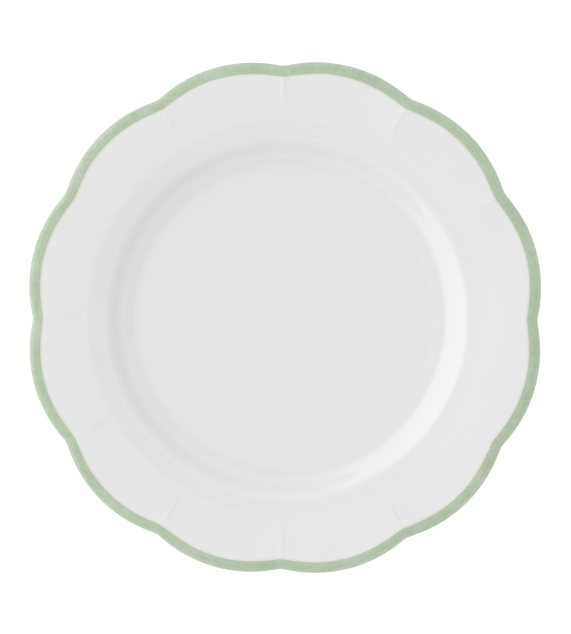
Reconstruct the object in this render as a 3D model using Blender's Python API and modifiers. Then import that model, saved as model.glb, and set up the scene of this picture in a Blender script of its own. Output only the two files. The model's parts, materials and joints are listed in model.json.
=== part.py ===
"""A scalloped porcelain dinner plate: the fired body, its clear glaze coats, and the coloured
edge band with a pale line inside it. Metres, +Z up, origin at the centre of the plane that the
foot ring stands on. Each piece is a turned profile whose rim is then drawn into lobes."""

import math

import bpy

# Outline seen from above
LOBES = 12
CREST_RADIUS = 0.1350  # centre to the outermost point of a lobe
LOBE_DEPTH = 0.0043  # dip that two neighbouring lobes would make if they met in a point
NOTCH_SOFTNESS = math.radians(0.8)  # rounds that point
LOBES_BEGIN = 0.1030  # inside this radius the plate is round
LOBES_FULL = 0.1280  # from here outwards the whole wall follows the lobes
LOBE_DRIFT = math.radians(1.0)  # the lobes aren't quite evenly spaced round the rim
DRIFT_SIDE = math.radians(45)

# Upper surface, from the centre outwards
FLOOR_HEIGHT = 0.0068
COVE_RADIUS = 0.0774  # where the flat floor and the cove round it would meet
COVE_FILLET = 0.0280
COVE_SLOPE = math.radians(14)
WALL_RADIUS = 0.0855  # where the cove and the straight wall would meet
WALL_FILLET = 0.0156
WALL_SLOPE = math.radians(40)
SHOULDER_RADIUS = 0.0928  # where the straight wall and the shoulder would meet
SHOULDER_FILLET = 0.0150
SHOULDER_SLOPE = math.radians(14)
RIM_RADIUS = 0.1028  # where the shoulder ends and the rim begins
RIM_SLOPE = math.radians(9)
BROW_RADIUS = 0.1150  # where the arched rim grows flatter
BROW_SLOPE = math.radians(4)
ROLL_RADIUS = 0.1312  # where the rim rolls over towards the lip
ROLL_FILLET = 0.0110
ROLL_SLOPE = math.radians(-18)

# Lip and lower surface
THICKNESS = 0.0040  # of the wall, the shoulder and the inner half of the rim
LIP_THICKNESS = 0.0030
LIP_SLOPE = math.radians(5)  # the rim's lower side, towards the lip
LEDGE_SLOPE = math.radians(7)  # between the foot ring and the wall
LEDGE_FILLET = 0.0050

# Foot ring
BASE_HEIGHT = 0.0032  # the recess inside the foot ring
FOOT_OUTER_TOP = (0.0826, 0.0031)
FOOT_OUTER_RADIUS = 0.0812
FOOT_INNER_RADIUS = 0.0776
FOOT_INNER_TOP_RADIUS = 0.0760

# Ribs: one raised line down the rim from each notch
RIB_HEIGHT = 0.0003
RIB_HALF_WIDTH = 0.0020
RIB_BEGINS = 0.1040
RIB_FULL = 0.1260

# Coats
COAT = 0.0003
GAP = 0.0003  # kept between any two pieces
BAND_WIDTH = 0.0060
BAND_UNDER = 0.0030  # how far the band reaches back under the lip
LINE_WIDTH = 0.0008
GLAZE_STOP = 0.0012  # the foot ring is bare below this height

# Facets
COLUMNS_PER_LOBE = 6
GATHER = 0.6  # 0 spreads the columns evenly, and towards 1 they gather at the notches
ARC_STEPS = 2
LIP_STEPS = 4
SHARP_ANGLE = math.radians(40)
MERGE = 0.00001

WHITE_PORCELAIN = (0.80, 0.79, 0.76)
CLEAR_GLAZE = (0.80, 0.80, 0.80)
SAGE = (0.479, 0.558, 0.434)
CREAM = (0.807, 0.761, 0.610)


def clear_scene():
    """Remove every object that the scene starts with."""
    for item in list(bpy.data.objects):
        bpy.data.objects.remove(item, do_unlink=True)


def make_material(name, colour, roughness):
    material = bpy.data.materials.new(name)
    material.use_nodes = True
    shader = material.node_tree.nodes["Principled BSDF"]
    shader.inputs["Base Color"].default_value = (*colour, 1.0)
    shader.inputs["Roughness"].default_value = roughness
    shader.inputs["Metallic"].default_value = 0.0
    material.diffuse_color = (*colour, 1.0)
    return material


def along(point, slope, radius):
    """The point at this radius on the line through a point with a slope."""
    return radius, point[1] + (radius - point[0]) * math.tan(slope)


def crossing(first, first_slope, second, second_slope):
    """Where two sloping lines meet."""
    a = math.tan(first_slope)
    b = math.tan(second_slope)
    radius = (second[1] - first[1] + a * first[0] - b * second[0]) / (a - b)
    return along(first, first_slope, radius)


def direction(start, end):
    length = math.dist(start, end)
    return (end[0] - start[0]) / length, (end[1] - start[1]) / length


def fillet(before, corner, after, radius, steps):
    """Points on the arc that rounds a corner of a profile."""
    arriving = direction(before, corner)
    leaving = direction(corner, after)
    turn = math.atan2(
        arriving[0] * leaving[1] - arriving[1] * leaving[0],
        arriving[0] * leaving[0] + arriving[1] * leaving[1],
    )
    reach = radius * math.tan(abs(turn) / 2)
    start = (corner[0] - reach * arriving[0], corner[1] - reach * arriving[1])
    side = math.copysign(radius, turn)
    centre = (start[0] - side * arriving[1], start[1] + side * arriving[0])
    arm = (start[0] - centre[0], start[1] - centre[1])
    points = []
    for step in range(steps + 1):
        angle = turn * step / steps
        x = arm[0] * math.cos(angle) - arm[1] * math.sin(angle)
        z = arm[0] * math.sin(angle) + arm[1] * math.cos(angle)
        points.append((centre[0] + x, centre[1] + z))
    return points


def inset(path, depth):
    """The path moved into the wall by a depth. The wall is on the path's right-hand side."""
    moved = []
    for i, point in enumerate(path):
        before = direction(path[i - 1], point) if i > 0 else direction(point, path[i + 1])
        after = direction(point, path[i + 1]) if i < len(path) - 1 else before
        across = (before[1] + after[1], -before[0] - after[0])
        scale = 2 * depth / (across[0] ** 2 + across[1] ** 2)
        moved.append((point[0] + across[0] * scale, point[1] + across[1] * scale))
    return moved


def upper_corners():
    """The corners of the upper surface: cove, wall, shoulder, rim, brow and roll."""
    cove = (COVE_RADIUS, FLOOR_HEIGHT)
    wall = along(cove, COVE_SLOPE, WALL_RADIUS)
    shoulder = along(wall, WALL_SLOPE, SHOULDER_RADIUS)
    rim = along(shoulder, SHOULDER_SLOPE, RIM_RADIUS)
    brow = along(rim, RIM_SLOPE, BROW_RADIUS)
    roll = along(brow, BROW_SLOPE, ROLL_RADIUS)
    return cove, wall, shoulder, rim, brow, roll


def brow_top(radius):
    """The point of the upper surface at a radius between the brow and the roll."""
    return along(upper_corners()[4], BROW_SLOPE, radius)


def lip_centre():
    """The centre of the lip's round edge."""
    half = LIP_THICKNESS / 2
    radius = CREST_RADIUS - half
    top = along(upper_corners()[5], ROLL_SLOPE, radius)
    return radius, top[1] - half / math.cos(ROLL_SLOPE)


def rim_under(radius):
    """The point of the rim's lower surface at a radius near the lip."""
    half = LIP_THICKNESS / 2
    centre = lip_centre()
    below = (centre[0], centre[1] - half / math.cos(LIP_SLOPE))
    return along(below, LIP_SLOPE, radius)


def lip_arc():
    """The round edge, from the roll to the rim's lower surface."""
    centre = lip_centre()
    first = math.pi / 2 + ROLL_SLOPE
    last = LIP_SLOPE - math.pi / 2
    points = []
    for step in range(LIP_STEPS + 1):
        angle = first + (last - first) * step / LIP_STEPS
        x = LIP_THICKNESS / 2 * math.cos(angle)
        z = LIP_THICKNESS / 2 * math.sin(angle)
        points.append((centre[0] + x, centre[1] + z))
    return points


def line_outer():
    """The pale line's outer radius."""
    return CREST_RADIUS - BAND_WIDTH - GAP


def face_path():
    """The upper surface from the centre to the pale line."""
    centre = (0.0, FLOOR_HEIGHT)
    cove, wall, shoulder, rim, brow = upper_corners()[:5]
    path = [centre]
    path += fillet(centre, cove, wall, COVE_FILLET, ARC_STEPS)
    path += fillet(cove, wall, shoulder, WALL_FILLET, ARC_STEPS)
    path += fillet(wall, shoulder, rim, SHOULDER_FILLET, ARC_STEPS)
    path += [rim, brow, brow_top(line_outer() - LINE_WIDTH - GAP)]
    return path


def line_path():
    """The upper surface under the pale line."""
    return [brow_top(line_outer() - LINE_WIDTH), brow_top(line_outer())]


def band_path():
    """The upper surface of the coloured edge, the lip, and its turn under the rim."""
    start = brow_top(CREST_RADIUS - BAND_WIDTH)
    roll = upper_corners()[5]
    lip = lip_arc()
    end = rim_under(CREST_RADIUS - BAND_UNDER)
    return [start] + fillet(start, roll, lip[0], ROLL_FILLET, ARC_STEPS) + lip + [end]


def foot_outer(height):
    """The point of the foot ring's outer wall at a height."""
    share = height / FOOT_OUTER_TOP[1]
    radius = FOOT_OUTER_RADIUS + (FOOT_OUTER_TOP[0] - FOOT_OUTER_RADIUS) * share
    return radius, height


def foot_inner(height):
    """The point of the foot ring's inner wall at a height."""
    share = height / BASE_HEIGHT
    radius = FOOT_INNER_RADIUS + (FOOT_INNER_TOP_RADIUS - FOOT_INNER_RADIUS) * share
    return radius, height


def under_path():
    """The lower surface from the band down to where the foot ring is bare."""
    start = rim_under(CREST_RADIUS - BAND_UNDER - GAP)
    shoulder, rim = inset(upper_corners(), THICKNESS)[2:4]
    brow = crossing(start, LIP_SLOPE, rim, RIM_SLOPE)
    ledge = crossing(shoulder, WALL_SLOPE, FOOT_OUTER_TOP, LEDGE_SLOPE)
    path = [start, brow, rim]
    path += fillet(rim, shoulder, ledge, SHOULDER_FILLET - THICKNESS, ARC_STEPS)
    path += fillet(shoulder, ledge, FOOT_OUTER_TOP, LEDGE_FILLET, ARC_STEPS)
    path += [FOOT_OUTER_TOP, foot_outer(GLAZE_STOP)]
    return path


def foot_path():
    """The bare foot ring and the flat ring that it stands on."""
    bare = GLAZE_STOP - GAP
    return [foot_outer(bare), foot_outer(0.0), foot_inner(0.0), foot_inner(bare)]


def base_path():
    """The recess inside the foot ring, from its wall to the centre."""
    return [foot_inner(GLAZE_STOP), foot_inner(BASE_HEIGHT), (0.0, BASE_HEIGHT)]


def coat_outline(path):
    """A coat's section: round its outer and inner sides, from the axis where it meets it."""
    inner = inset(path, COAT)[::-1]
    ends_on_axis = path[-1][0] < MERGE
    return inner + path if ends_on_axis else path + inner


def body_outline():
    """The body's section: under the coats everywhere except at the bare foot."""
    depth = COAT + GAP
    above = face_path() + line_path() + band_path() + under_path()
    return inset(above, depth) + foot_path() + inset(base_path(), depth)


def ramp(value, low, high):
    """0 at low, 1 at high, and straight between them."""
    return min(max((value - low) / (high - low), 0.0), 1.0)


def lobe_dip(angle):
    """How far the edge lies inside the crests' circle, angle measured from a notch."""
    half = math.pi / LOBES
    from_crest = half - math.hypot(angle, NOTCH_SOFTNESS)
    return LOBE_DEPTH * (from_crest / half) ** 2


def rib_lift(radius, angle):
    """How far a rib raises the rim at a radius, angle measured from a notch."""
    across = radius * angle / RIB_HALF_WIDTH
    return RIB_HEIGHT * ramp(radius, RIB_BEGINS, RIB_FULL) * math.exp(-across * across)


def lobe_drift(angle):
    """How far the lobes have slid round the rim at an angle; not at all on the X axis."""
    return LOBE_DRIFT * (math.sin(angle - DRIFT_SIDE) + math.sin(DRIFT_SIDE))


def shape_rim(mesh):
    """Draw a turned mesh into lobes and raise the ribs, with a notch on the X axis."""
    pitch = 2 * math.pi / LOBES
    for vertex in mesh.vertices:
        radius = math.hypot(vertex.co.x, vertex.co.y)
        turned = math.atan2(vertex.co.y, vertex.co.x)
        angle = turned - GATHER / LOBES * math.sin(LOBES * turned)
        from_notch = angle - pitch * round(angle / pitch)
        lobed = radius - lobe_dip(from_notch) * ramp(radius, LOBES_BEGIN, LOBES_FULL)
        angle += lobe_drift(angle)
        vertex.co.x = lobed * math.cos(angle)
        vertex.co.y = lobed * math.sin(angle)
        vertex.co.z += rib_lift(radius, from_notch)


def profile_mesh(name, outline, closed):
    """The outline as a chain of edges in the XZ plane."""
    count = len(outline)
    edges = [(i, i + 1) for i in range(count - 1)]
    if closed:
        edges.append((count - 1, 0))
    mesh = bpy.data.meshes.new(name)
    mesh.from_pydata([(x, 0.0, z) for x, z in outline], edges, [])
    return mesh


def make_piece(collection, name, outline, material):
    """Turn an outline about Z. An outline that starts on the axis ends on it too."""
    closed = outline[0][0] > MERGE
    piece = bpy.data.objects.new(name, profile_mesh(name + "_profile", outline, closed))
    collection.objects.link(piece)
    screw = piece.modifiers.new("Turn", "SCREW")
    screw.steps = screw.render_steps = LOBES * COLUMNS_PER_LOBE
    screw.use_merge_vertices = True
    screw.merge_threshold = MERGE
    screw.use_smooth_shade = True
    bpy.context.view_layer.update()
    turned = piece.evaluated_get(bpy.context.evaluated_depsgraph_get())
    mesh = bpy.data.meshes.new_from_object(turned)
    piece.modifiers.clear()
    piece.data = mesh
    mesh.name = name
    shape_rim(mesh)
    mesh.shade_smooth()
    mesh.set_sharp_from_angle(angle=SHARP_ANGLE)
    mesh.materials.append(material)
    return piece


def main():
    clear_scene()
    plate = bpy.data.collections.new("dinner_plate")
    bpy.context.scene.collection.children.link(plate)
    porcelain = make_material("bare_porcelain", WHITE_PORCELAIN, 0.6)
    sage = make_material("sage_enamel", SAGE, 0.25)
    cream = make_material("cream_enamel", CREAM, 0.25)
    make_piece(plate, "porcelain_body", body_outline(), porcelain)
    coats = {"face_glaze": face_path, "underside_glaze": under_path, "base_glaze": base_path}
    for name, path in coats.items():
        glaze = make_material("clear_" + name, CLEAR_GLAZE, 0.1)
        make_piece(plate, name, coat_outline(path()), glaze)
    make_piece(plate, "edge_band", coat_outline(band_path()), sage)
    make_piece(plate, "inner_line", coat_outline(line_path()), cream)


main()
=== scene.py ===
import json
import math

import bpy
import numpy as np
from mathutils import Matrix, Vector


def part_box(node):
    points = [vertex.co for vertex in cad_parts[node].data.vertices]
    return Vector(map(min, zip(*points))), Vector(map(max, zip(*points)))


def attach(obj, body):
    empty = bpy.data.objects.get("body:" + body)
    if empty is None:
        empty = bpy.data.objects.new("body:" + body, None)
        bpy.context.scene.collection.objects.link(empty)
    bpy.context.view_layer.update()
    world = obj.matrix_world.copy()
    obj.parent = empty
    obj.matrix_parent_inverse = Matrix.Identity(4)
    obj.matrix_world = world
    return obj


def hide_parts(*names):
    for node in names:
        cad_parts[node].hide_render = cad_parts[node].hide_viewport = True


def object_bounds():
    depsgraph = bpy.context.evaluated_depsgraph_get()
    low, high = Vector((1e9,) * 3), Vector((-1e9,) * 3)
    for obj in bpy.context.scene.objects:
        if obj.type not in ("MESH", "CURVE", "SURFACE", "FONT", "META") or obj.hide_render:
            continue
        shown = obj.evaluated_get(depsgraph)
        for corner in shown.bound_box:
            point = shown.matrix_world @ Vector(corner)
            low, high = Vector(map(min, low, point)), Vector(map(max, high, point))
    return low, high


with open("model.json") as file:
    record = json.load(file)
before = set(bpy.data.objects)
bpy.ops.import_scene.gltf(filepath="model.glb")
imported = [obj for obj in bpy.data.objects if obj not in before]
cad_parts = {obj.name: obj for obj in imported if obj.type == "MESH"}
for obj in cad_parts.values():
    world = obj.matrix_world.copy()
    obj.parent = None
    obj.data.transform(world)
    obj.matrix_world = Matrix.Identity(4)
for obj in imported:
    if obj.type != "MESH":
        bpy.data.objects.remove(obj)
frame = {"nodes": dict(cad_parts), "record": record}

cad_low, cad_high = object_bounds()

# Outline seen from above, as in the CAD model (metres)
LOBES = 12
LOBE_DEPTH = 0.0043
NOTCH_SOFTNESS = math.radians(0.8)
LOBES_BEGIN = 0.1030
LOBES_FULL = 0.1280
LOBE_DRIFT = math.radians(1.0)
DRIFT_SIDE = math.radians(45)

# Corners of the section, each rounded by its fillet
COVE_RADIUS = 0.0774
COVE_FILLET = 0.0180
COVE_SLOPE = math.radians(14)
WALL_RADIUS = 0.0855
WALL_FILLET = 0.0156
WALL_SLOPE = math.radians(40)
SHOULDER_RADIUS = 0.0928
SHOULDER_FILLET = 0.0150
SHOULDER_SLOPE = math.radians(14)
RIM_RADIUS = 0.1028
RIM_FILLET = 0.0200
RIM_SLOPE = math.radians(9)
BROW_RADIUS = 0.1150
BROW_FILLET = 0.2300
BROW_SLOPE = math.radians(4)
ROLL_RADIUS = 0.1312
ROLL_FILLET = 0.0110
ROLL_SLOPE = math.radians(-18)
THICKNESS = 0.0040
LIP_THICKNESS = 0.0030
LIP_SLOPE = math.radians(5)
LEDGE_SLOPE = math.radians(7)
LEDGE_FILLET = 0.0050
FOOT_OUTER_TOP = (0.0826, 0.0031)
FOOT_OUTER_RADIUS = 0.0812
FOOT_INNER_RADIUS = 0.0776
FOOT_INNER_TOP_RADIUS = 0.0760
FOOT_FILLET = 0.0006
FOOT_ROOT_FILLET = 0.0012
POLE_RADIUS = 0.0015  # the fans that close the surface round the axis

# Fine relief: the ribs, and the faint waves of the fired glaze
RIB_HEIGHT = 0.00030
RIB_HALF_WIDTH_IN = 0.0012
RIB_HALF_WIDTH_OUT = 0.0015
RIB_BEGINS = 0.1040
RIB_FULL = 0.1180
RIB_SINKS = (0.1260, 0.1310, 0.5)  # between these radii a rib loses this share of its height
WAVE_HEIGHT = 0.00002
WAVES = ((131, 57, 0.7), (-83, 164, 2.1), (212, -39, 4.4))  # radians per metre in X, Y; start

# Coats, and how one tucks under the next
BAND_WIDTH = 0.0062
BAND_UNDER = 0.0030
LINE_WIDTH = 0.0010
ENAMEL = 0.00005
LINE_RISE = 0.00003  # the line stands this much above the clear glaze
TUCK = 0.00007  # how deep a painted edge dips below the true surface
TUCK_LENGTH = 0.00015
COAT = 0.00025
CAD_COAT = 0.0003
OVERLAP = 0.0008
TUCKED_STEPS = 3  # how many points of the roll the face and the line reach under the band
BARE_STEP = 0.00012  # how far the bare foot stands back from the glaze beside it
BODY_DEPTH = 0.0004  # how deep the fired body lies below the true surface
GLAZE_STOP = 0.0012  # the glaze stops this high above the table

# The painter's hand
PAINT_STRAY = 0.00012
STRAY_TURNS = ((5, 0.35), (11, 0.3), (23, 0.2), (47, 0.15))  # swings round the plate, share
BAND_SEED = 1.7
LINE_SEED = 4.3
PAINT_LEAN = 0.0005  # the band is this much wider on one side and narrower on the other
LEAN_SIDE = math.radians(76)
NOTCH_CUT = 0.0004  # the brush cuts across a notch by this much, on the band's inner side
NOTCH_CUT_WIDTH = 0.0060
STRAY_FADES = 0.0025  # from the band's inner edge
STROKE_ALONG = 7.0  # noise lengths round the edge, per radian
STROKE_ACROSS = 900.0  # noise lengths across it, per metre

# Steps of the finished mesh
COLUMNS_PER_LOBE = 40
GATHER = 0.6
FINE_STEP = 0.0004
RIM_STEP = 0.0016
WIDE_STEP = 0.0095
SHARP_ANGLE = math.radians(50)

# Steps in the arc that rounds each corner
COVE_ARC = 8
WALL_ARC = 16
RIM_ARC = 5
BROW_ARC = 12
ROLL_ARC = 8
LIP_ARC = 12
UNDER_RIM_ARC = 3
UNDER_SHOULDER_ARC = 10
LEDGE_ARC = 8
ROOT_ARC = 5
FOOT_ARC = 4

# Noise in the materials: scale per metre, detail, roughness
CLOUDS = (28.0, 4.0, 0.55)
HAZE = (60.0, 3.0, 0.5)
MOTTLE = (330.0, 2.5, 0.6)
STREAKS = (1.0, 4.0, 0.6)  # its scale is already in the stroke coordinates
DRIFT = (45.0, 2.0, 0.5)
RUB = (160.0, 6.0, 0.65)
FOOT_GRAIN = (2600.0, 3.0, 0.7)
FLOOR_GRAIN = (12.0, 3.0, 0.5)
NOISE_SPAN = (0.3, 0.7)  # the range that most of a noise lies in

# Looks. Tones run from the noise's low values to its high ones
FACE_TONES = ((0.735, 0.738, 0.738), (0.75, 0.75, 0.748))
UNDER_TONES = ((0.73, 0.735, 0.73), (0.75, 0.75, 0.745))
BARE_TONES = ((0.62, 0.60, 0.56), (0.74, 0.73, 0.69))
SAGE_TONES = ((0.378, 0.468, 0.336), (0.424, 0.510, 0.380), (0.465, 0.542, 0.424))
SAGE_THIN = (0.62, 0.65, 0.55)
CREAM_TONES = ((0.70, 0.69, 0.60), (0.715, 0.715, 0.65), (0.735, 0.735, 0.71))
CREAM_THIN = (0.735, 0.738, 0.725)
FLOOR_TONES = ((0.93, 0.93, 0.93), (0.95, 0.95, 0.95))
ENAMEL_SPAN = (0.40, 0.50, 0.60)
BARE_SPAN = (0.25, 0.55)
STREAK_SHARE = 0.4
DRIFT_SHARE = 0.35
THIN_WITHIN = 0.0011  # the enamel thins out towards its inner edge within this distance
BROKEN_SHARE = 0.5
COVER_SPAN = (0.20, 0.50)
WHITE_ROUGHNESS = (0.28, 0.36)
ENAMEL_ROUGHNESS = (0.25, 0.35)
BARE_ROUGHNESS = (0.6, 0.75)
FLOOR_ROUGHNESS = 0.9
WHITE_COAT_ROUGHNESS = 0.06
ENAMEL_COAT_ROUGHNESS = 0.14
COAT_IOR = 1.5
UNDERCOAT_SPECULAR = 0.15
STREAK_RELIEF = 0.00001
GRAIN_RELIEF = 0.00003
BLACK = (0, 0, 0)
WHITE = (1, 1, 1)
MIX_COLOUR_A = 6  # sockets of a mix node in colour mode
MIX_COLOUR_B = 7
MIX_COLOUR_RESULT = 2

# Studio
WORLD_LIGHT = 1.09
# Share of that light at angles in degrees from the zenith: an overhead soft box, a dim
# gap round it, and side boxes that fade towards the horizon
WORLD_SHARES = ((90, 0.87), (70, 0.87), (55, 1), (36, 1), (31, 0.38), (24, 0.38), (20, 0.83))
FLOOR_SIZE = 12.0
FLOOR_CLEAR = 0.00005  # the foot stands this little above the floor
FLOOR_GLOW = 0.30
KEY_AZIMUTH = 163.0
KEY_ELEVATION = 24.0
KEY_DISTANCE = 2.6
KEY_SIZE = (6.0, 2.8)
KEY_POWER = 46.0
CAMERA_DISTANCE = 3.0
CAMERA_AZIMUTH = -89.0
CAMERA_ELEVATION = 86.0
SENSOR = 36.0
FRAME_HEIGHT = 0.3288  # metres of the plate's top plane that the picture is high
AIM = (0.00023, -0.00041)
CLIP_END = 100.0


def mount_place(name):
    """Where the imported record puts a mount."""
    found = [m for m in frame["record"]["mounts"] if m["name"] == name]
    return found[0]["pos_m"]


def crest_radius(node):
    """The radius of a CAD node's outermost points."""
    return max(math.hypot(v.co.x, v.co.y) for v in frame["nodes"][node].data.vertices)


FLOOR_HEIGHT = mount_place("well_floor")[2]
CREST_RADIUS = crest_radius("edge_band")
BASE_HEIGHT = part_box("base_glaze")[1].z - CAD_COAT


# ---- section ---------------------------------------------------------------------------


def along(point, slope, radius):
    """The point at this radius on the line through a point with a slope."""
    return radius, point[1] + (radius - point[0]) * math.tan(slope)


def crossing(first, first_slope, second, second_slope):
    """Where two sloping lines meet."""
    a = math.tan(first_slope)
    b = math.tan(second_slope)
    radius = (second[1] - first[1] + a * first[0] - b * second[0]) / (a - b)
    return along(first, first_slope, radius)


def direction(start, end):
    length = math.dist(start, end)
    return (end[0] - start[0]) / length, (end[1] - start[1]) / length


def towards(start, end, distance):
    """The point at a distance from one point on the way to another."""
    way = direction(start, end)
    return start[0] + way[0] * distance, start[1] + way[1] * distance


def fillet(before, corner, after, radius, steps):
    """Points on the arc that rounds a corner of the section."""
    arriving = direction(before, corner)
    leaving = direction(corner, after)
    turn = math.atan2(
        arriving[0] * leaving[1] - arriving[1] * leaving[0],
        arriving[0] * leaving[0] + arriving[1] * leaving[1],
    )
    reach = radius * math.tan(abs(turn) / 2)
    start = (corner[0] - reach * arriving[0], corner[1] - reach * arriving[1])
    side = math.copysign(radius, turn)
    centre = (start[0] - side * arriving[1], start[1] + side * arriving[0])
    arm = (start[0] - centre[0], start[1] - centre[1])
    points = []
    for step in range(steps + 1):
        angle = turn * step / steps
        x = arm[0] * math.cos(angle) - arm[1] * math.sin(angle)
        z = arm[0] * math.sin(angle) + arm[1] * math.cos(angle)
        points.append((centre[0] + x, centre[1] + z))
    return points


def inset(path, depth):
    """The path moved into the wall by a depth. The wall is on the path's right-hand side."""
    moved = []
    for i, point in enumerate(path):
        before = direction(path[i - 1], point) if i > 0 else direction(point, path[i + 1])
        after = direction(point, path[i + 1]) if i < len(path) - 1 else before
        across = (before[1] + after[1], -before[0] - after[0])
        scale = 2 * depth / (across[0] ** 2 + across[1] ** 2)
        moved.append((point[0] + across[0] * scale, point[1] + across[1] * scale))
    return moved


def spaced(path, spacing):
    """The path with points added, so that no step is longer than the spacing."""
    points = [path[0]]
    for start, end in zip(path, path[1:]):
        steps = max(1, math.ceil(math.dist(start, end) / spacing))
        for step in range(1, steps + 1):
            points.append(towards(start, end, math.dist(start, end) * step / steps))
    return points


def upper_corners():
    """The corners of the upper surface: cove, wall, shoulder, rim, brow and roll."""
    cove = (COVE_RADIUS, FLOOR_HEIGHT)
    wall = along(cove, COVE_SLOPE, WALL_RADIUS)
    shoulder = along(wall, WALL_SLOPE, SHOULDER_RADIUS)
    rim = along(shoulder, SHOULDER_SLOPE, RIM_RADIUS)
    brow = along(rim, RIM_SLOPE, BROW_RADIUS)
    roll = along(brow, BROW_SLOPE, ROLL_RADIUS)
    return cove, wall, shoulder, rim, brow, roll


def brow_top(radius):
    """The point of the upper surface at a radius between the brow and the roll."""
    return along(upper_corners()[4], BROW_SLOPE, radius)


def lip_centre():
    """The centre of the lip's round edge."""
    half = LIP_THICKNESS / 2
    radius = CREST_RADIUS - half
    top = along(upper_corners()[5], ROLL_SLOPE, radius)
    return radius, top[1] - half / math.cos(ROLL_SLOPE)


def rim_under(radius):
    """The point of the rim's lower surface at a radius near the lip."""
    half = LIP_THICKNESS / 2
    centre = lip_centre()
    below = (centre[0], centre[1] - half / math.cos(LIP_SLOPE))
    return along(below, LIP_SLOPE, radius)


def lip_arc(steps):
    """The round edge, from the roll to the rim's lower surface."""
    centre = lip_centre()
    first = math.pi / 2 + ROLL_SLOPE
    last = LIP_SLOPE - math.pi / 2
    points = []
    for step in range(steps + 1):
        angle = first + (last - first) * step / steps
        x = LIP_THICKNESS / 2 * math.cos(angle)
        z = LIP_THICKNESS / 2 * math.sin(angle)
        points.append((centre[0] + x, centre[1] + z))
    return points


def roll_arc():
    """The upper surface where the rim rolls over towards the lip."""
    brow, roll = upper_corners()[4:]
    return fillet(brow, roll, lip_arc(1)[0], ROLL_FILLET, ROLL_ARC)


def face_path():
    """The upper surface from near the axis to under the band's inner edge."""
    cove, wall, shoulder, rim, brow, roll = upper_corners()
    centre = (POLE_RADIUS, FLOOR_HEIGHT)
    cove_arc = fillet(centre, cove, wall, COVE_FILLET, COVE_ARC)
    path = spaced([centre, cove_arc[0]], WIDE_STEP)[:-1]
    wall_arc = fillet(cove, wall, shoulder, WALL_FILLET, WALL_ARC)
    path += spaced(cove_arc + wall_arc, FINE_STEP)
    path += fillet(wall, shoulder, rim, SHOULDER_FILLET, WALL_ARC)
    path += fillet(shoulder, rim, brow, RIM_FILLET, RIM_ARC)
    path += fillet(rim, brow, roll, BROW_FILLET, BROW_ARC)
    path += [brow_top(LOBES_FULL)] + roll_arc()[:TUCKED_STEPS]
    return spaced(path, RIM_STEP)


def line_path():
    """The upper surface under the pale line."""
    start = brow_top(CREST_RADIUS - BAND_WIDTH - LINE_WIDTH)
    arc = roll_arc()[:TUCKED_STEPS]
    return [start, towards(start, arc[0], TUCK_LENGTH)] + spaced([start] + arc, FINE_STEP)[1:]


def band_path():
    """The coloured edge: rim, roll, lip, and its turn under the rim."""
    start = brow_top(CREST_RADIUS - BAND_WIDTH)
    end = rim_under(CREST_RADIUS - BAND_UNDER)
    arc = roll_arc()
    lip = lip_arc(LIP_ARC)
    path = [start, towards(start, arc[0], TUCK_LENGTH)] + arc + lip
    path += [towards(end, lip[-1], TUCK_LENGTH), end]
    return spaced(path, 2 * FINE_STEP)


def foot_outer(height):
    """The point of the foot ring's outer wall at a height."""
    share = height / FOOT_OUTER_TOP[1]
    radius = FOOT_OUTER_RADIUS + (FOOT_OUTER_TOP[0] - FOOT_OUTER_RADIUS) * share
    return radius, height


def foot_inner(height):
    """The point of the foot ring's inner wall at a height."""
    share = height / BASE_HEIGHT
    radius = FOOT_INNER_RADIUS + (FOOT_INNER_TOP_RADIUS - FOOT_INNER_RADIUS) * share
    return radius, height


def under_path():
    """The lower surface from above the band's turned edge down to the bare part of the foot."""
    start = rim_under(CREST_RADIUS - BAND_UNDER + OVERLAP)
    shoulder, rim = inset(upper_corners(), THICKNESS)[2:4]
    brow = crossing(start, LIP_SLOPE, rim, RIM_SLOPE)
    ledge = crossing(shoulder, WALL_SLOPE, FOOT_OUTER_TOP, LEDGE_SLOPE)
    stop = foot_outer(GLAZE_STOP)
    path = [start]
    path += fillet(start, brow, rim, RIM_FILLET, UNDER_RIM_ARC)
    path += fillet(brow, rim, shoulder, RIM_FILLET, UNDER_RIM_ARC)
    under_fillet = SHOULDER_FILLET - THICKNESS
    path += fillet(rim, shoulder, ledge, under_fillet, UNDER_SHOULDER_ARC)
    path += fillet(shoulder, ledge, FOOT_OUTER_TOP, LEDGE_FILLET, LEDGE_ARC)
    path += fillet(ledge, FOOT_OUTER_TOP, stop, FOOT_ROOT_FILLET, ROOT_ARC) + [stop]
    return spaced(path, RIM_STEP)


def foot_path():
    """The bare foot ring, from under the outer glaze's edge to under the inner one's."""
    outer = [foot_outer(GLAZE_STOP + OVERLAP), foot_outer(0.0)]
    inner = [foot_inner(0.0), foot_inner(GLAZE_STOP + OVERLAP)]
    corners = [(r - BARE_STEP, z) for r, z in outer] + [(r + BARE_STEP, z) for r, z in inner]
    path = [corners[0]]
    path += fillet(corners[0], corners[1], corners[2], FOOT_FILLET, FOOT_ARC)
    path += fillet(corners[1], corners[2], corners[3], FOOT_FILLET, FOOT_ARC)
    path += [corners[3]]
    return path


def base_path():
    """The recess inside the foot ring, towards the axis."""
    root = foot_inner(BASE_HEIGHT)
    stop = foot_inner(GLAZE_STOP)
    centre = (POLE_RADIUS, BASE_HEIGHT)
    arc = fillet(stop, root, centre, FOOT_ROOT_FILLET, ROOT_ARC)
    return spaced([stop] + arc + [centre], WIDE_STEP)


# ---- surface ---------------------------------------------------------------------------


def smooth_ramp(value, low, high):
    share = np.clip((value - low) / (high - low), 0.0, 1.0)
    return share * share * (3 - 2 * share)


def column_angles():
    """The columns' angles before the lobes drift: they gather at the notches and ribs."""
    even = np.arange(LOBES * COLUMNS_PER_LOBE) * 2 * math.pi / (LOBES * COLUMNS_PER_LOBE)
    return even - GATHER / LOBES * np.sin(LOBES * even)


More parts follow.
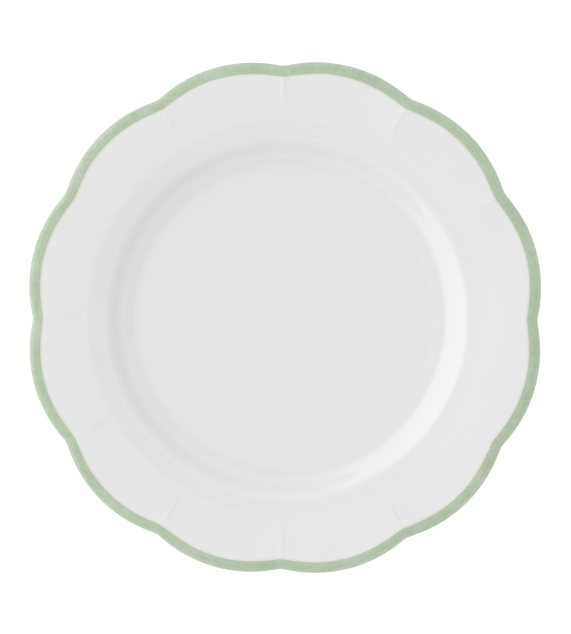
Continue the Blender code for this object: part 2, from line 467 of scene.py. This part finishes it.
def lobe_drift(angles):
    """How far the lobes have slid round the rim; not at all on its +X side."""
    return LOBE_DRIFT * (np.sin(angles - DRIFT_SIDE) + math.sin(DRIFT_SIDE))


def from_notch(angles):
    """Each angle's signed distance from the nearest notch."""
    pitch = 2 * math.pi / LOBES
    return angles - pitch * np.round(angles / pitch)


def lobe_dip(offset):
    """How far the edge lies inside the crests' circle."""
    half = math.pi / LOBES
    from_crest = half - np.hypot(offset, NOTCH_SOFTNESS)
    return LOBE_DEPTH * (from_crest / half) ** 2


def rib_lift(radius, offset):
    """How far the ribs raise the rim."""
    outwards = smooth_ramp(radius, RIB_BEGINS, RIB_FULL)
    half_width = RIB_HALF_WIDTH_IN + (RIB_HALF_WIDTH_OUT - RIB_HALF_WIDTH_IN) * outwards
    start, end, share = RIB_SINKS
    height = RIB_HEIGHT * outwards * (1 - share * smooth_ramp(radius, start, end))
    return height * np.exp(-((radius * offset / half_width) ** 2))


def glaze_waves(x, y):
    """The faint unevenness of a fired glaze, as three crossing waves below the true surface."""
    waves = sum(np.sin(per_x * x + per_y * y + start) for per_x, per_y, start in WAVES)
    return WAVE_HEIGHT * (waves / len(WAVES) - 1)


def ring(point, glazed=True, stray=0.0):
    """One ring of points round the plate, from a point of the section."""
    angles = column_angles()
    offset = from_notch(angles)
    radius = point[0] + stray
    height = point[1] + stray * math.tan(BROW_SLOPE) + rib_lift(radius, offset)
    lobed = radius - lobe_dip(offset) * smooth_ramp(radius, LOBES_BEGIN, LOBES_FULL)
    angles = angles + lobe_drift(angles)
    x = lobed * np.cos(angles)
    y = lobed * np.sin(angles)
    if glazed:
        height = height + glaze_waves(x, y)
    return np.column_stack([x, y, height])


def loft(name, rings, closed):
    """A mesh through the rings. Closed joins the last ring to the first; otherwise the
    first and last rings lie round the axis and each is covered by a fan."""
    count = len(rings[0])
    points = list(rings)
    pairs = [(i, i + 1) for i in range(len(rings) - 1)]
    if closed:
        pairs.append((len(rings) - 1, 0))
    here = np.arange(count)
    following = (here + 1) % count
    quads = []
    for a, b in pairs:
        sides = [a * count + here, b * count + here]
        sides += [b * count + following, a * count + following]
        quads.append(np.column_stack(sides))
    faces = np.vstack(quads).tolist()
    if not closed:
        last = (len(rings) - 1) * count
        top = len(rings) * count
        points += [rings[0].mean(0)[None, :], rings[-1].mean(0)[None, :]]
        faces += np.column_stack([np.full(count, top), here, following]).tolist()
        under = np.full(count, top + 1)
        faces += np.column_stack([under, last + following, last + here]).tolist()
    mesh = bpy.data.meshes.new(name)
    mesh.from_pydata(np.vstack(points).tolist(), [], faces)
    mesh.update()
    mesh.shade_smooth()
    mesh.set_sharp_from_angle(angle=SHARP_ANGLE)
    return mesh


def add_piece(name, mesh, material, node):
    """Put a finished piece in the scene in place of its CAD node."""
    piece = bpy.data.objects.new(name, mesh)
    bpy.context.scene.collection.objects.link(piece)
    mesh.materials.append(material)
    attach(piece, "root")
    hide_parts(node)
    return piece


def distances(path):
    """How far each point of the path is from its start, along it."""
    reached = [0.0]
    for before, after in zip(path, path[1:]):
        reached.append(reached[-1] + math.dist(before, after))
    return reached


def hand_stray(seed):
    """How far a hand-painted edge strays outwards, round the plate."""
    angles = column_angles()
    cut = CREST_RADIUS * from_notch(angles) / NOTCH_CUT_WIDTH
    stray = NOTCH_CUT * np.exp(-(cut**2)) - PAINT_LEAN * np.cos(angles - LEAN_SIDE)
    for turns, share in STRAY_TURNS:
        stray += PAINT_STRAY * share * np.sin(turns * angles + seed * turns)
    return stray


def painted_mesh(name, path, depth, seed, tucks):
    """A thin coat of enamel along a path. Its mesh knows each point's distance from the
    first edge, and coordinates that run slowly along the brush stroke and quickly across."""
    sunk = inset(path, TUCK)
    outer = inset(path, depth)
    for end in tucks:
        outer[end] = sunk[end]
    inner = inset(path, 2 * ENAMEL)[::-1]
    reached = distances(path)
    reached += reached[::-1]
    stray = hand_stray(seed)
    rings = []
    strokes = []
    angles = column_angles()
    for point, distance in zip(outer + inner, reached):
        fade = max(0.0, 1 - distance / STRAY_FADES)
        rings.append(ring(point, stray=stray * fade))
        across = np.full_like(angles, distance * STROKE_ACROSS + seed)
        along_x = STROKE_ALONG * np.cos(angles)
        along_y = STROKE_ALONG * np.sin(angles)
        strokes.append(np.column_stack([along_x, along_y, across]))
    mesh = loft(name, rings, True)
    layer = mesh.attributes.new("strokes", "FLOAT_VECTOR", "POINT")
    layer.data.foreach_set("vector", np.vstack(strokes).astype(np.float32).ravel())
    layer = mesh.attributes.new("from_edge", "FLOAT", "POINT")
    layer.data.foreach_set("value", np.repeat(reached, len(angles)).astype(np.float32))
    return mesh


# ---- materials -------------------------------------------------------------------------


def new_material(name):
    material = bpy.data.materials.new(name)
    material.use_nodes = True
    tree = material.node_tree
    return material, tree, tree.nodes["Principled BSDF"]


def noise(tree, vector, kind):
    """Noise of one of the kinds named above."""
    scale, detail, roughness = kind
    node = tree.nodes.new("ShaderNodeTexNoise")
    node.inputs["Scale"].default_value = scale
    node.inputs["Detail"].default_value = detail
    node.inputs["Roughness"].default_value = roughness
    tree.links.new(vector, node.inputs["Vector"])
    return node.outputs["Fac"]


def colour_ramp(tree, value, stops):
    """A colour for each value; stops are (position, colour)."""
    node = tree.nodes.new("ShaderNodeValToRGB")
    elements = node.color_ramp.elements
    for element, (position, colour) in zip(elements, (stops[0], stops[-1])):
        element.position = position
        element.color = (*colour, 1.0)
    for position, colour in stops[1:-1]:
        elements.new(position).color = (*colour, 1.0)
    tree.links.new(value, node.inputs["Fac"])
    return node.outputs["Color"]


def mix_colours(tree, factor, plain, patterned):
    """From a plain colour to a patterned one. A mix node lists its colours as A, B, Result,
    after others of the same names for numbers and vectors."""
    node = tree.nodes.new("ShaderNodeMix")
    node.data_type = "RGBA"
    tree.links.new(factor, node.inputs["Factor"])
    node.inputs[MIX_COLOUR_A].default_value = (*plain, 1.0)
    tree.links.new(patterned, node.inputs[MIX_COLOUR_B])
    return node.outputs[MIX_COLOUR_RESULT]


def blend_values(tree, share, first, second):
    """A fixed share of the second value, and the rest of the first."""
    node = tree.nodes.new("ShaderNodeMix")
    node.inputs["Factor"].default_value = share
    tree.links.new(first, node.inputs["A"])
    tree.links.new(second, node.inputs["B"])
    return node.outputs["Result"]


def stretch(tree, value, target, span=NOISE_SPAN):
    """Map a value from its span to a target range."""
    node = tree.nodes.new("ShaderNodeMapRange")
    node.inputs["From Min"].default_value, node.inputs["From Max"].default_value = span
    node.inputs["To Min"].default_value, node.inputs["To Max"].default_value = target
    tree.links.new(value, node.inputs["Value"])
    return node.outputs["Result"]


def bump(tree, shader, value, height):
    node = tree.nodes.new("ShaderNodeBump")
    node.inputs["Distance"].default_value = height
    tree.links.new(value, node.inputs["Height"])
    tree.links.new(node.outputs["Normal"], shader.inputs["Normal"])


def place(tree):
    return tree.nodes.new("ShaderNodeTexCoord").outputs["Object"]


def stored(tree, name, output):
    """A value that the mesh holds at its points."""
    node = tree.nodes.new("ShaderNodeAttribute")
    node.attribute_name = name
    return node.outputs[output]


def glaze_shine(shader, coat_roughness):
    """The clear coat's gloss; what is under it hardly reflects by itself."""
    shader.inputs["Coat Weight"].default_value = 1.0
    shader.inputs["Coat Roughness"].default_value = coat_roughness
    shader.inputs["Coat IOR"].default_value = COAT_IOR
    shader.inputs["Specular IOR Level"].default_value = UNDERCOAT_SPECULAR


def glazed_white(name, tones):
    """White porcelain under clear glaze, with faint clouds in its tone and its gloss."""
    material, tree, shader = new_material(name)
    where = place(tree)
    tone = colour_ramp(tree, noise(tree, where, CLOUDS), list(zip(NOISE_SPAN, tones)))
    tree.links.new(tone, shader.inputs["Base Color"])
    haze = noise(tree, where, HAZE)
    tree.links.new(stretch(tree, haze, WHITE_ROUGHNESS), shader.inputs["Roughness"])
    glaze_shine(shader, WHITE_COAT_ROUGHNESS)
    return material


def painted(name, tones, thin):
    """Enamel laid on by hand: mottled where it floated, streaked along the stroke, and
    thinning out in patches at its inner edge."""
    material, tree, shader = new_material(name)
    where = place(tree)
    mottle = noise(tree, where, MOTTLE)
    streaks = noise(tree, stored(tree, "strokes", "Vector"), STREAKS)
    drift = noise(tree, where, DRIFT)
    streaked = blend_values(tree, STREAK_SHARE, mottle, streaks)
    laid = blend_values(tree, DRIFT_SHARE, streaked, drift)
    body = colour_ramp(tree, laid, list(zip(ENAMEL_SPAN, tones)))
    inwards = stretch(tree, stored(tree, "from_edge", "Fac"), (0.0, 1.0), (0.0, THIN_WITHIN))
    broken = blend_values(tree, BROKEN_SHARE, inwards, mottle)
    cover = colour_ramp(tree, broken, list(zip(COVER_SPAN, (BLACK, WHITE))))
    tree.links.new(mix_colours(tree, cover, thin, body), shader.inputs["Base Color"])
    tree.links.new(stretch(tree, laid, ENAMEL_ROUGHNESS), shader.inputs["Roughness"])
    glaze_shine(shader, ENAMEL_COAT_ROUGHNESS)
    bump(tree, shader, streaks, STREAK_RELIEF)
    return material


def bare_porcelain():
    """The unglazed foot: a fine matte grain, faintly darker where it has been rubbed."""
    material, tree, shader = new_material("bare_foot")
    where = place(tree)
    rub = noise(tree, where, RUB)
    tone = colour_ramp(tree, rub, list(zip(BARE_SPAN, BARE_TONES)))
    tree.links.new(tone, shader.inputs["Base Color"])
    tree.links.new(stretch(tree, rub, BARE_ROUGHNESS), shader.inputs["Roughness"])
    bump(tree, shader, noise(tree, where, FOOT_GRAIN), GRAIN_RELIEF)
    return material


# ---- pieces ----------------------------------------------------------------------------


def coat_rings(path):
    """The rings of a coat of clear glaze: its outer surface, and its back the other way."""
    outer = [ring(p) for p in inset(path, ENAMEL)]
    back = [ring(p) for p in inset(path, ENAMEL + COAT)[::-1]]
    return outer, back


def make_face():
    outer, back = coat_rings(face_path())
    mesh = loft("glazed_face", outer + back, False)
    white = glazed_white("face_white", FACE_TONES)
    add_piece("glazed_face", mesh, white, "face_glaze")


def make_underside():
    outer, back = coat_rings(under_path())
    mesh = loft("glazed_underside", outer + back, True)
    white = glazed_white("underside_white", UNDER_TONES)
    add_piece("glazed_underside", mesh, white, "underside_glaze")


def make_base():
    outer, back = coat_rings(base_path())
    mesh = loft("glazed_base", back + outer, False)
    white = glazed_white("base_white", UNDER_TONES)
    add_piece("glazed_base", mesh, white, "base_glaze")


def make_band():
    mesh = painted_mesh("painted_band", band_path(), 0.0, BAND_SEED, (0, -1))
    sage = painted("sage", SAGE_TONES, SAGE_THIN)
    add_piece("painted_band", mesh, sage, "edge_band")


def make_line():
    depth = ENAMEL - LINE_RISE
    mesh = painted_mesh("painted_line", line_path(), depth, LINE_SEED, (0,))
    cream = painted("cream", CREAM_TONES, CREAM_THIN)
    add_piece("painted_line", mesh, cream, "inner_line")


def make_body():
    path = inset(face_path()[:-TUCKED_STEPS] + band_path()[2:-2] + under_path(), BODY_DEPTH)
    path += foot_path() + inset(base_path(), BODY_DEPTH)
    rings = [ring(p, glazed=False) for p in path]
    mesh = loft("fired_body", rings, False)
    add_piece("fired_body", mesh, bare_porcelain(), "porcelain_body")


# ---- studio ----------------------------------------------------------------------------


def make_floor():
    bpy.ops.mesh.primitive_plane_add(size=FLOOR_SIZE, location=(0, 0, cad_low.z - FLOOR_CLEAR))
    floor = bpy.context.object
    floor.name = "floor"
    material, tree, shader = new_material("pale_floor")
    grain = noise(tree, place(tree), FLOOR_GRAIN)
    tone = colour_ramp(tree, grain, list(zip(NOISE_SPAN, FLOOR_TONES)))
    tree.links.new(tone, shader.inputs["Base Color"])
    shader.inputs["Roughness"].default_value = FLOOR_ROUGHNESS
    shader.inputs["Specular IOR Level"].default_value = 0.0
    shader.inputs["Emission Color"].default_value = (*WHITE, 1)
    shader.inputs["Emission Strength"].default_value = FLOOR_GLOW
    floor.data.materials.append(material)


def aim(item, target, azimuth, elevation, distance):
    """Put a lamp or a camera at angles in degrees round a target, facing it."""
    a = math.radians(azimuth)
    e = math.radians(elevation)
    item.location = (
        target[0] + distance * math.cos(e) * math.cos(a),
        target[1] + distance * math.cos(e) * math.sin(a),
        target[2] + distance * math.sin(e),
    )
    item.rotation_euler = (math.pi / 2 - e, 0, a + math.pi / 2)
    bpy.context.scene.collection.objects.link(item)


def make_light(name, azimuth, elevation, distance, size, power):
    """A rectangular soft box, given its width and height."""
    data = bpy.data.lights.new(name, "AREA")
    data.shape = "RECTANGLE"
    data.size, data.size_y = size
    data.energy = power
    lamp = bpy.data.objects.new(name, data)
    lamp.visible_camera = False
    aim(lamp, (0, 0, 0), azimuth, elevation, distance)


def make_world():
    """Soft white light from all round, with the soft boxes' shares of it."""
    world = bpy.data.worlds.new("studio")
    world.use_nodes = True
    tree = world.node_tree
    sky = tree.nodes["Background"]
    split = tree.nodes.new("ShaderNodeSeparateXYZ")
    tree.links.new(tree.nodes.new("ShaderNodeTexCoord").outputs["Generated"], split.inputs[0])
    stops = [(math.cos(math.radians(a)), (share,) * 3) for a, share in WORLD_SHARES]
    tree.links.new(colour_ramp(tree, split.outputs["Z"], stops), sky.inputs["Color"])
    sky.inputs["Strength"].default_value = WORLD_LIGHT
    bpy.context.scene.world = world


def make_camera():
    data = bpy.data.cameras.new("camera")
    data.sensor_width = SENSOR
    data.lens = SENSOR * CAMERA_DISTANCE / FRAME_HEIGHT
    data.clip_end = CLIP_END
    camera = bpy.data.objects.new("camera", data)
    aim(camera, (*AIM, cad_high.z), CAMERA_AZIMUTH, CAMERA_ELEVATION, CAMERA_DISTANCE)
    bpy.context.scene.camera = camera


make_face()
make_underside()
make_base()
make_line()
make_band()
make_body()
make_floor()
make_world()
make_light("key", KEY_AZIMUTH, KEY_ELEVATION, KEY_DISTANCE, KEY_SIZE, KEY_POWER)
make_camera()
bpy.context.scene.view_settings.view_transform = "Standard"
bpy.context.scene.view_settings.look = "None"
